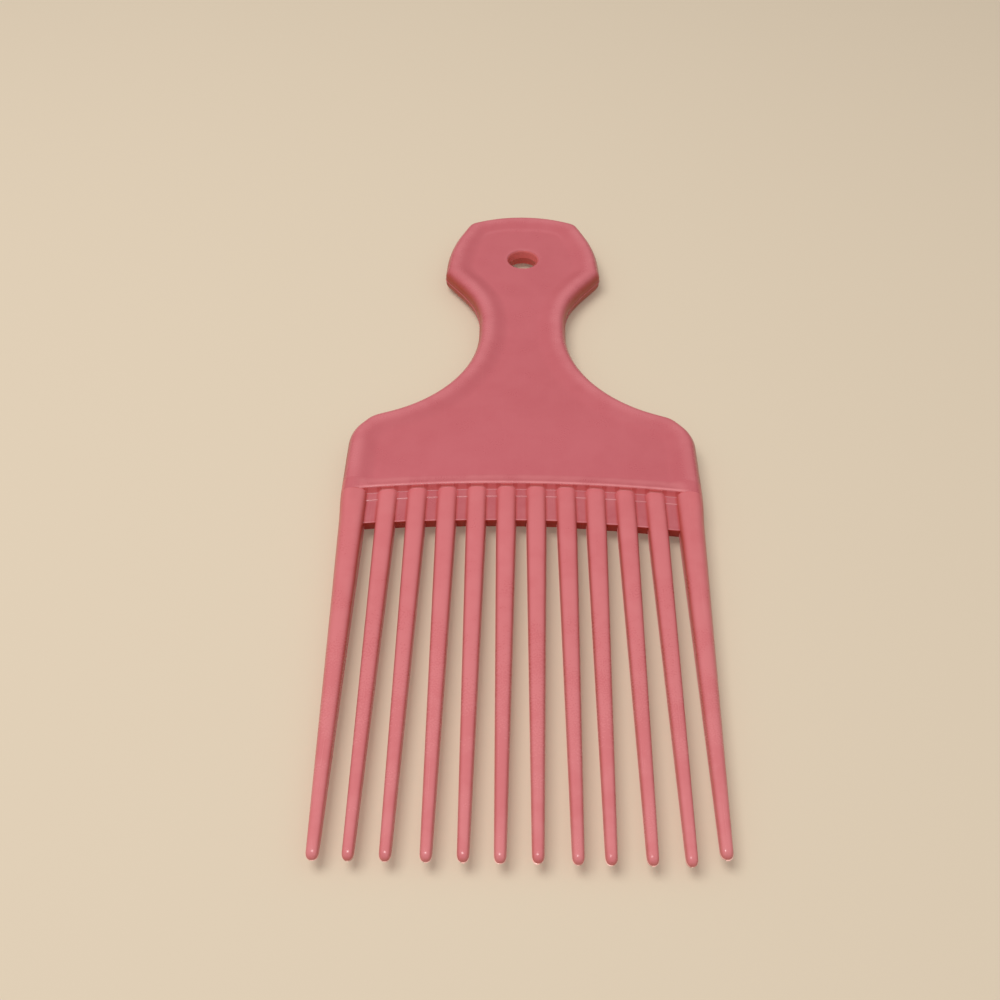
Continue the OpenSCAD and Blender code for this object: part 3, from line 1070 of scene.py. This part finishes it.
@dataclass
class RootProfile:
    """The profile from the rib's crest down over a small ledge to the webs.

    The rib, the webs and the tines meet in it. Its places are distances in front of the rib's wall.
    """

    crest_t: float = 5.5 * MM
    crest_w: float = 0.55 * MM
    crest_round: float = 0.45 * MM
    face_run: float = 0.06 * MM
    foot_l: float = 0.45 * MM
    foot_z: float = 1.36 * MM
    foot_round: float = 0.2 * MM
    ledge_l: float = 2.15 * MM
    ledge_drop: float = 0.1 * MM
    ledge_round: float = 0.14 * MM
    slope_l: float = 2.32 * MM
    slope_round: float = 0.07 * MM
    web_t: float = 2.16 * MM
    web_reach: float = 8.0 * MM
    round_steps: int = 8

    def __post_init__(self) -> None:
        """Works out the profile's line once."""
        crest_z = self.crest_t / 2
        corners = [
            (-self.face_run - self.crest_w, crest_z),
            (-self.face_run, crest_z),
            (self.foot_l, self.foot_z),
            (self.ledge_l, self.foot_z - self.ledge_drop),
            (self.slope_l, self.web_t / 2),
            (2 * self.slope_l, self.web_t / 2),
        ]
        rounds = [self.crest_round, self.foot_round, self.ledge_round, self.slope_round]
        self.line = rounded_line(corners, rounds, self.round_steps)

    def height(self, distance: float) -> float:
        """Height of the profile above the middle plane at a distance in front of the rib's wall."""
        return float(np.interp(distance, self.line[:, 0], self.line[:, 1]))


@dataclass
class CrossRib:
    """The bowed rib that steps up from the tines and slopes back down to the panel."""

    sizes: PickSizes
    rim: HandleRim
    root: RootProfile
    hollow_run_share: float = 0.4
    hollow_rise_share: float = 0.35
    # Painted light on the back slope.
    slope_tone: float = 0.28
    # Painted shade on the rib's ends, lower down their sides.
    end_shade: float = 0.95
    end_spread: float = 1.3
    face_round: float = 0.06 * MM
    hollow_round: float = 0.8 * MM
    round_steps: int = 7
    middle_steps: int = 120

    def stations(self) -> list[float]:
        """Places across the rib, closer together over the rim's section.

        Returns:
            The places as X, from left to right.
        """
        insets = [row[0] for row in self.rim.section()]
        right = [self.sizes.half_w - inset for inset in insets]
        middle = np.linspace(-right[0], right[0], self.middle_steps + 1)[1:-1]
        return [-x for x in reversed(right)] + list(middle) + right

    def tone(self, run: float) -> float:
        """Tone along the rib: a painted highlight on the crest, and a little painted light on the back
        slope.

        Args:
            run: Distance behind the rib's wall.

        Returns:
            The tone.
        """
        middle = self.root.face_run + self.root.crest_w / 2
        crest = float(eased(1 - abs(run - middle) / self.root.crest_w))
        slope = float(eased((self.sizes.rib_w - run) / self.root.crest_w)) * (run > middle)
        return max(crest, self.slope_tone * slope)

    def end_tone(self, height: float) -> float:
        """Painted shade on the rib's two ends, which carry on the darker lower side of the rim."""
        rise = abs(height) / self.sizes.mid_z
        return -self.end_shade * float(eased(self.end_spread * (1 - rise)))

    def profile(self, x: float) -> np.ndarray:
        """The upper half of the rib's section, from its front wall back to the panel.

        Args:
            x: Place across the pick.

        Returns:
            The distance behind the wall and the height above the middle plane of each point.
        """
        inset = max(self.sizes.half_w - abs(x), 0.0)
        plate = self.rim.height(inset) if inset < self.rim.width else self.sizes.panel_z
        crest = plate if inset < self.rim.crest_in else max(plate, self.root.crest_t / 2)
        fade = self.rim.side_share(inset)
        face = min(self.root.height(0.0) * (1 - fade) + plate * fade, plate)
        start, end = self.root.face_run, self.root.face_run + self.root.crest_w
        hollow = end + (self.sizes.rib_w - end) * self.hollow_run_share
        hollow_z = plate + (crest - plate) * self.hollow_rise_share
        corners = [
            (0.0, -face),
            (0.0, face),
            (start, crest),
            (end, crest),
            (hollow, hollow_z),
            (self.sizes.rib_w, plate),
        ]
        rounds = [self.face_round, self.root.crest_round, self.root.crest_round, self.hollow_round]
        return rounded_line(corners, rounds, self.round_steps)[1:]

    def build(self) -> bpy.types.Object:
        """Builds the rib as sections across the pick.

        Returns:
            The rib's object.
        """
        rings, tones = [], []
        for x in self.stations():
            inset = self.sizes.half_w - abs(x)
            upper = self.profile(x)
            loop = np.vstack([upper, upper[::-1] * [1, -1]])
            wall, mid_z = self.sizes.wall(x), self.sizes.mid_z
            rings.append([(x, wall + run, mid_z + height) for run, height in loop])
            # The ends carry on the rim's painted shade; elsewhere the crest's painted highlight and the
            # back slope's painted light fade where the rim's side takes over.
            if inset < self.rim.crest_in:
                tones.append([self.end_tone(height) for _, height in loop])
            else:
                shown = 1 - self.rim.side_share(inset)
                tones.append([shown * self.tone(run) for run, _ in loop])
        draft = MeshDraft("bowed_rib")
        draft.add_rings(np.array(rings), np.array(tones))
        return draft.finish(sharp_deg=50.0)


@dataclass
class Tine:
    """One tapered tine with a round tip and a thin flash line on its edge.

    At the rib it rounds down and blends into the step and the webs. At the tip the flash stands out
    a little, by a different share on each side of each tine.
    """

    sizes: PickSizes
    root: RootProfile
    node: str
    lean: float
    row: str = "inner"
    tip_w: float = 1.95 * MM
    tip_t: float = 2.3 * MM
    parallel_l: float = 11.0 * MM
    tip_plan_l: float = 1.5 * MM
    tip_side_l: float = 1.6 * MM
    tip_plan_power: float = 2.5
    round_share: float = 0.98
    root_power: float = 3.2
    tip_power: float = 2.7
    # Painted light that grows towards the tip, where the tine is also polished.
    root_tone: float = 0.12
    tip_tone: float = 0.95
    blend_reach: float = 0.45 * MM
    blend_fade: float = 1.2 * MM
    inside_l: float = 0.5 * MM
    inside_shrink: float = 0.03
    root_zone: float = 1.8 * MM
    root_steps: int = 24
    flash_w: float = 0.05 * MM
    flash_t: float = 0.08 * MM
    tip_flash_w: float = 0.3 * MM
    tip_flash_least: float = 0.3
    tip_flash_l: float = 2.4 * MM
    # Painted light on the flash at the tip.
    tip_flash_tone: float = 0.8
    tip_flash_stations: tuple[float, ...] = (1.0, 0.6, 0.3, 0.1)
    dome_l: float = 0.7 * MM
    dome_drop: float = 0.12 * MM
    dome_power: float = 2.5
    corner_steps: int = 12
    length_steps: int = 60
    tip_steps: int = 14

    def __post_init__(self) -> None:
        """Reads the tine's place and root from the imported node, and draws its flash's shares."""
        low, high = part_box(self.node)
        self.tip_y = low.y
        self.root_x = (low.x + high.x) / 2
        self.root_w = high.x - low.x
        self.root_t = high.z - low.z
        rough = np.random.default_rng(sum(map(ord, self.node)))
        left, right, end = rough.uniform(self.tip_flash_least, 1.0, 3)
        self.tip_flash_shares = {Side.LEFT: left, Side.RIGHT: right}
        self.tip_flash_w *= end

    @property
    def length(self) -> float:
        """Length from the tip to the rib's front wall."""
        return self.sizes.wall(self.root_x) - self.tip_y

    def centre(self, y: float) -> float:
        """X of the tine's centre line."""
        share = (self.sizes.root_y - y) / (self.sizes.root_y + self.sizes.top_y)
        return self.root_x + self.lean * share

    def taper(self, y: float) -> float:
        """How far the tine has grown at y, from 0 at the tip to 1 where its root is parallel."""
        rounded = self.tip_y + self.tip_plan_l
        return held((y - rounded) / (self.length - self.parallel_l - self.tip_plan_l))

    def width(self, y: float) -> float:
        """Width at y, without the rounding of the tip."""
        return self.tip_w + (self.root_w - self.tip_w) * self.taper(y)

    def thickness(self, y: float) -> float:
        """Thickness at y, without the rounding of the tip."""
        return self.tip_t + (self.root_t - self.tip_t) * self.taper(y)

    def corner(self, y: float, side: Side) -> tuple[float, float, float]:
        """The curve that rounds one side of the section.

        Args:
            y: Place along the tine.
            side: The side that it rounds.

        Returns:
            The curve's width, height and power.
        """
        share = held((y - self.tip_y) / (self.length - self.parallel_l))
        power = self.tip_power + (self.root_power - self.tip_power) * share
        half_w, half_t = self.width(y) / 2, self.thickness(y) / 2
        return self.round_share * (half_w - self.flash_w), half_t - self.flash_t / 2, power

    def section(self, y: float) -> tuple[np.ndarray, np.ndarray]:
        """The closed section at y, and the tones round it.

        Args:
            y: Place along the tine.

        Returns:
            Points as offsets across and up from the centre, and the tone at each.
        """
        half_w, half_t = self.width(y) / 2, self.thickness(y) / 2
        body_w = half_w - self.flash_w
        turns = [math.pi / 2 * k / self.corner_steps for k in range(self.corner_steps + 1)]
        halves = {}
        for side in Side:
            rx, rz, power = self.corner(y, side)
            halves[side] = [
                (
                    side.value * (body_w - rx + rx * math.cos(a) ** (2 / power)),
                    half_t - rz + rz * math.sin(a) ** (2 / power),
                )
                for a in turns
            ]
        flash = self.flash_t / 2
        upper = [(-body_w, flash), *halves[Side.LEFT], *reversed(halves[Side.RIGHT]), (body_w, flash)]
        ring = [(-half_w, 0.0), *upper, (half_w, 0.0), *[(x, -z) for x, z in reversed(upper)]]
        points = np.array(ring)
        # Painted light growing towards the tip, and painted light on the flash line along the edge.
        share = held((y - self.tip_y) / self.length)
        worn_and_lit = self.tip_tone + (self.root_tone - self.tip_tone) * share
        return points, np.clip(1 - np.abs(points[:, 1]) / self.flash_t, worn_and_lit, 1.0)

    def stations(self) -> list[float]:
        """Places along the tine, closer together at both ends.

        Returns:
            The places as Y, from inside the rib to the tip.
        """
        wall = self.sizes.wall(self.root_x)
        root = list(np.linspace(wall + self.inside_l, wall - self.root_zone, self.root_steps))
        start = self.tip_y + self.tip_flash_w + self.tip_side_l
        body = list(np.linspace(root[-1], start, self.length_steps)[1:])
        turns = [math.pi / 2 * k / self.tip_steps for k in range(1, self.tip_steps)]
        tip = [start - self.tip_side_l * math.sin(a) for a in turns]
        flash = [self.tip_y + self.tip_flash_w * share for share in self.tip_flash_stations]
        return root + body + tip + flash

    def dome(self, distance: float) -> float:
        """How far the tine's upper face has rounded down at a distance in front of the rib's wall."""
        return self.dome_drop * held(1 - distance / self.dome_l) ** self.dome_power

    def joined(self, x: float, own: float, distance: float) -> float:
        """Height of the tine's face, blended into the rib and the webs near the rib.

        Args:
            x: Place across the pick.
            own: Height of the face without the blend.
            distance: Distance in front of the rib's wall.

        Returns:
            The blended height above the middle plane.
        """
        if distance >= self.root.web_reach:
            return own
        reach = self.blend_reach * float(eased((self.root.web_reach - distance) / self.blend_fade))
        own -= self.dome(distance) * (own > self.dome_drop)
        return soft_union(own, self.root.height(distance), reach)

    def tip_shares(self, y: float) -> tuple[float, float, float]:
        """How much the rounding of the tip leaves of the tine.

        Args:
            y: Place along the tine.

        Returns:
            The share of its body's width, of its flash's width and of its thickness.
        """
        from_tip = max(y - self.tip_y, 0.0)
        plan, power = 1 - from_tip / self.tip_plan_l, self.tip_plan_power
        inner = 1 - (from_tip - self.tip_flash_w) / self.tip_plan_l
        rise = 1 - (from_tip - self.tip_flash_w) / self.tip_side_l
        across, outer = ((1 - held(share) ** power) ** (1 / power) for share in (inner, plan))
        return across, outer, math.sqrt(1 - held(rise) ** 2)

    def build(self) -> bpy.types.Object:
        """Builds the tine as sections along its length.

        Returns:
            The tine's object.
        """
        rings, tones = [], []
        wall = self.sizes.wall(self.root_x)
        for y in self.stations():
            points, shades = self.section(y)
            across, outer, up = self.tip_shares(y)
            centre = self.centre(y)
            distance = wall - y
            near_rib = float(eased(1 - distance / self.parallel_l))
            shrink = 1 - self.inside_shrink * max(0.0, -distance) / self.inside_l
            # Painted light on the flash at the tip, brightest at its end.
            flash_glow = self.tip_flash_tone * float(eased(1 - (y - self.tip_y) / self.tip_flash_l))
            ring = []
            for k, (x, z) in enumerate(points):
                side = Side.LEFT if x < 0 else Side.RIGHT
                spread = (outer - across) * self.tip_flash_shares[side] * (z == 0)
                px = centre + x * (across + spread) * shrink
                py = y + near_rib * (self.sizes.bow(px) - self.sizes.bow(self.root_x))
                own = max(abs(z) * up, min(abs(z), self.flash_t / 2))
                if own <= self.flash_t / 2:
                    shades[k] = 1 + flash_glow
                height = self.joined(px, own, distance)
                ring.append((px, py, self.sizes.mid_z + math.copysign(height, z)))
            rings.append(ring)
            tones.append(shades)
        draft = MeshDraft(f"{self.row}_{self.node}")
        draft.add_rings(np.array(rings), np.array(tones))
        return draft.finish(sharp_deg=60.0)


@dataclass(kw_only=True)
class GuardTine(Tine):
    """A thicker outer tine, whose outer side carries on the rim's rounded side."""

    rim: HandleRim
    side: Side
    row: str = "outer"
    tip_w: float = 2.1 * MM
    blend_reach: float = 0.12 * MM
    merge_l: float = 7.0 * MM
    unblended_share: float = 0.5

    def width(self, y: float) -> float:
        """Width at y: a guard tine tapers all the way from the rib."""
        share = held((y - self.tip_y - self.tip_plan_l) / (self.length - self.tip_plan_l))
        return self.tip_w + (self.root_w - self.tip_w) * share

    def corner(self, y: float, side: Side) -> tuple[float, float, float]:
        """The curve that rounds one side: the outer one turns into the rim's side towards the rib.

        Args:
            y: Place along the tine.
            side: The side that it rounds.

        Returns:
            The curve's width, height and power.
        """
        across, up, power = super().corner(y, side)
        if side is not self.side:
            return across, up, power
        share = held((y - self.tip_y) / self.length)
        rim_up = self.root_t / 2 - self.rim.land_t / 2
        rim_power = self.rim.side_power
        return (
            across + (self.rim.crest_in - across) * share,
            up + (rim_up - up) * share,
            power + (rim_power - power) * share,
        )

    def joined(self, x: float, own: float, distance: float) -> float:
        """Height of the tine's face, whose outer side swells up to the rim's height near the rib.

        Args:
            x: Place across the pick.
            own: Height of the face without the blend.
            distance: Distance in front of the rib's wall.

        Returns:
            The blended height above the middle plane.
        """
        inset = self.sizes.half_w - abs(x)
        across = self.rim.side_share(inset)
        along = float(eased(1 - distance / self.merge_l))
        own += (self.rim.height(max(inset, 0.0)) - own) * across * along * (own > self.flash_t)
        own *= 1 - self.inside_shrink * max(0.0, -distance) / self.inside_l * across
        if distance >= self.root.web_reach or across > self.unblended_share:
            return own
        reach = self.blend_reach * float(eased((self.root.web_reach - distance) / self.blend_fade))
        return soft_union(own, self.root.height(distance), reach)


@dataclass
class TineRow:
    """The row of inner tines between the two guard tines."""

    sizes: PickSizes
    rim: HandleRim
    root: RootProfile
    inner_count: int = 10
    drift_shares: tuple[float, ...] = (0.03, 0.0, 0.06, 0.03, 0.0, -0.01, 0.03, -0.1, -0.03, -0.02)
    lean_left: float = 1.4 * MM
    lean_right: float = -1.4 * MM

    def __post_init__(self) -> None:
        """Lists the tines from left to right."""
        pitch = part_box("tine_02")[0].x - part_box("tine_01")[0].x
        self.tines: list[Tine] = [
            self.guard("guard_tine_left", self.lean_left, Side.LEFT),
            *[
                Tine(self.sizes, self.root, f"tine_{i + 1:02d}", self.drift_shares[i] * pitch)
                for i in range(self.inner_count)
            ],
            self.guard("guard_tine_right", self.lean_right, Side.RIGHT),
        ]

    def guard(self, node: str, lean: float, side: Side) -> GuardTine:
        """The guard tine on one side."""
        return GuardTine(self.sizes, self.root, node, lean, rim=self.rim, side=side)

    def build(self) -> list[tuple[bpy.types.Object, str]]:
        """Builds every tine, and gives each object with the node that it stands for."""
        return [(tine.build(), tine.node) for tine in self.tines]


@dataclass
class RootWeb:
    """The thin webs between the roots of the tines, with a groove before their rounded free edge.

    Past the even blocks they grow longer towards the right, and the side cut shortens them a little
    towards both guard tines.
    """

    sizes: PickSizes
    root: RootProfile
    tines: list[Tine]
    web_l: float = 8.2 * MM
    web_grow: float = 0.9 * MM
    even_blocks: int = 6
    start: float = 0.05 * MM
    start_slope: float = 1 / 9
    side_cut: float = 0.4 * MM
    # Painted shade along the webs' sides, where they meet the tines.
    side_tone: float = 0.4
    side_w: float = 0.35 * MM
    edge_r: float = 0.2 * MM
    line_w: float = 0.14 * MM
    # Painted highlight lines on the free edge, the ledge's edge and the foot of the rib's face.
    edge_tone: float = 0.6
    foot_tone: float = 0.5
    groove_in: float = 0.62 * MM
    groove_w: float = 0.5 * MM
    groove_depth: float = 0.07 * MM
    roll_l: float = 3.4 * MM
    roll_drop: float = 0.08 * MM
    tuck: float = 0.7 * MM
    edge_steps: int = 7
    flat_steps: int = 40
    across_steps: int = 18

    def profile(self, length: float) -> list[tuple[float, float, float]]:
        """The upper half of a web's profile, from the rib to its free edge.

        Args:
            length: The web's length in front of the rib's wall.

        Returns:
            The distance in front of the wall, height above the middle plane and tone of each point.
        """
        half_t, first = self.root.web_t / 2, -self.start
        quarter = [math.pi / 2 * k / self.edge_steps for k in range(self.edge_steps + 1)]
        rows = [
            (-self.sizes.seam_overlap, half_t, 0.0),
            (first, self.root.height(first) - self.start * self.start_slope, 0.0),
        ]
        for distance, height in self.root.line[:-1]:
            if distance > first:
                # Painted highlight lines on the ledge's edge and at the foot of the rib's face.
                edge = float(eased(1 - abs(distance - self.root.ledge_l) / self.line_w))
                foot = float(eased(1 - abs(distance - self.root.foot_l) / self.line_w))
                rows.append((distance, height, edge + self.foot_tone * foot))
        end = length - self.edge_r
        flat = np.linspace(rows[-1][0], end, self.flat_steps)[1:-1]
        rows += [(distance, half_t - self.drop(distance, end), 0.0) for distance in flat]
        for a in quarter:
            height = half_t - self.roll_drop - self.edge_r * (1 - math.cos(a))
            # A painted highlight on the rounded edge, turning to painted shade on the end face.
            tone = self.edge_tone - (1 + self.edge_tone) * float(eased(2 * a / math.pi))
            rows.append((end + self.edge_r * math.sin(a), height, tone))
        return rows

    def drop(self, distance: float, end: float) -> float:
        """How far a web's face has dropped, as it rolls off and has a groove before its edge.

        Args:
            distance: Distance in front of the rib's wall.
            end: Distance at which the free edge starts to round.

        Returns:
            The drop below the flat face.
        """
        groove = abs(end - distance - self.groove_in) / self.groove_w
        roll = max(0.0, 1 - (end - distance) / self.roll_l)
        return self.groove_depth * float(eased(1 - groove)) + self.roll_drop * roll**2

    def block(self, draft: MeshDraft, i: int) -> None:
        """Adds one web to the draft.

        Args:
            draft: The draft that it is added to.
            i: Number of the tine at its left.
        """
        left, right = self.tines[i], self.tines[i + 1]
        extra = max(0, i - self.even_blocks) / (len(self.tines) - 2 - self.even_blocks)
        aside = abs(2 * i / (len(self.tines) - 2) - 1)
        rows = self.profile(self.web_l + self.web_grow * extra - self.side_cut * aside**2)
        lower = [(distance, -height, tone) for distance, height, tone in reversed(rows)]
        wall = self.sizes.wall((left.root_x + right.root_x) / 2)
        gap = right.root_x - left.root_x - (left.root_w + right.root_w) / 2
        rings, tones = [], []
        for share in np.linspace(-self.tuck / gap, 1 + self.tuck / gap, self.across_steps + 1):
            ring = []
            inside = min(share, 1 - share) * gap
            # Painted shade along the sides, where the web meets the tines.
            shade_share = self.side_tone * float(eased(1 - inside / self.side_w))
            tones.append([max(tone - shade_share, -1.0) for _, _, tone in rows + lower])
            for distance, height, _ in rows + lower:
                y = wall - distance
                x0 = left.centre(y) + left.width(y) / 2
                x1 = right.centre(y) - right.width(y) / 2
                x = x0 + (x1 - x0) * share
                ring.append((x, self.sizes.wall(x) - distance, self.sizes.mid_z + height))
            rings.append(ring)
        draft.add_rings(np.array(rings), np.array(tones))

    def build(self) -> bpy.types.Object:
        """Builds all the webs as one piece.

        Returns:
            The webs' object.
        """
        draft = MeshDraft("root_web")
        for i in range(len(self.tines) - 1):
            self.block(draft, i)
        return draft.finish(sharp_deg=50.0)


# The set


@dataclass
class Studio:
    """A plain pale floor, soft light and a camera at the photograph's angle."""

    floor_colour: Colour = (0.69, 0.58, 0.44, 1.0)
    floor_roughness: float = 0.85
    floor_side: float = 6.0
    sky_low: Colour = (0.2, 0.16, 0.12, 1.0)
    sky_high: Colour = (1.0, 0.98, 0.95, 1.0)
    sky_rise: float = 0.8
    world_strength: float = 0.5
    key_power: float = 3.6
    key_side: float = 0.5
    key_place: tuple[float, float, float] = (-0.28, 0.03, 0.8)
    front_power: float = 1.5
    front_side: float = 0.12
    front_place: tuple[float, float, float] = (-0.08, -0.2, 0.8)
    camera_aim: tuple[float, float, float] = (-4.247 * MM, -7.750 * MM, 0.0)
    camera_distance: float = 220.06 * MM
    camera_pitch_deg: float = 47.45
    camera_yaw_deg: float = 0.986
    camera_lens_mm: float = 39.6

    def floor(self) -> None:
        """Lays the floor under the pick."""
        material = bpy.data.materials.new("plain_floor")
        material.use_nodes = True
        shader = material.node_tree.nodes["Principled BSDF"]
        shader.inputs["Base Color"].default_value = self.floor_colour
        shader.inputs["Roughness"].default_value = self.floor_roughness
        half = self.floor_side / 2
        corners = [(-half, -half, 0), (half, -half, 0), (half, half, 0), (-half, half, 0)]
        mesh = bpy.data.meshes.new("floor")
        mesh.from_pydata(corners, [], [(0, 1, 2, 3)])
        mesh.materials.append(material)
        floor = bpy.data.objects.new("floor", mesh)
        bpy.context.scene.collection.objects.link(floor)
        floor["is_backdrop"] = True

    def lamp(
        self, name: str, power: float, side: float, place: tuple[float, float, float], mirrored: bool
    ) -> None:
        """Hangs a square lamp that faces the pick.

        Args:
            name: The lamp's name.
            power: Its power in watts.
            side: Length of its side.
            place: Where it hangs.
            mirrored: Whether it makes highlights. The lamp that does is a fill without shadows.
        """
        light = bpy.data.lights.new(name, "AREA")
        light.use_shadow = not mirrored
        light.energy = power
        light.size = side
        lamp = bpy.data.objects.new(name, light)
        lamp.location = place
        lamp.visible_glossy = mirrored
        lamp.rotation_euler = (-Vector(place)).to_track_quat("-Z", "Y").to_euler()
        bpy.context.scene.collection.objects.link(lamp)

    def world(self) -> None:
        """Sets a soft sky that is bright overhead and dim at the horizon."""
        world = bpy.data.worlds.new("soft_sky")
        world.use_nodes = True
        sketch = NodeSketch(world.node_tree)
        direction = sketch.add("ShaderNodeSeparateXYZ")
        sketch.feed(direction.inputs[0], sketch.add("ShaderNodeTexCoord").outputs["Generated"])
        rise = sketch.remap(direction.outputs["Z"], (0.0, self.sky_rise), (0.0, 1.0))
        sky = world.node_tree.nodes["Background"]
        sketch.feed(sky.inputs["Color"], sketch.blend(rise, self.sky_low, self.sky_high))
        sky.inputs["Strength"].default_value = self.world_strength
        bpy.context.scene.world = world

    def camera(self) -> None:
        """Sets the camera where the photograph was taken from."""
        pitch, yaw = math.radians(self.camera_pitch_deg), math.radians(self.camera_yaw_deg)
        ahead = Vector(
            (-math.sin(yaw) * math.cos(pitch), math.cos(yaw) * math.cos(pitch), -math.sin(pitch))
        )
        data = bpy.data.cameras.new("photo_camera")
        data.lens = self.camera_lens_mm
        data.clip_start = MM
        camera = bpy.data.objects.new("photo_camera", data)
        camera.location = Vector(self.camera_aim) - ahead * self.camera_distance
        camera.rotation_euler = ahead.to_track_quat("-Z", "Y").to_euler()
        bpy.context.scene.collection.objects.link(camera)
        bpy.context.scene.camera = camera

    def build(self) -> None:
        """Builds the whole set."""
        self.floor()
        self.lamp("key_lamp", self.key_power, self.key_side, self.key_place, mirrored=False)
        self.lamp("front_lamp", self.front_power, self.front_side, self.front_place, mirrored=True)
        self.world()
        self.camera()
        bpy.context.scene.view_settings.view_transform = "Standard"


def main() -> None:
    """Builds the pick and its set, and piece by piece."""
    logging.basicConfig(level=logging.INFO, format="%(name)s: %(message)s")
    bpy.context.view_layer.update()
    sizes = PickSizes.from_frame()
    Studio().build()
    outline = HandleOutline(sizes)
    rim = HandleRim(sizes, outline)
    root = RootProfile()
    row = TineRow(sizes, rim, root)
    hand_over(rim.build(), HANDLE_FINISH, "handle_rim")
    hand_over(HandlePanel(sizes, outline, rim).build(), PANEL_FINISH, "handle_panel")
    hand_over(CrossRib(sizes, rim, root).build(), RIB_FINISH, "cross_rib")
    hand_over(RootWeb(sizes, root, row.tines).build(), WEB_FINISH, "tooth_web")
    for piece, node in row.build():
        hand_over(piece, TINE_FINISH, node)


if __name__ == "__main__":
    main()
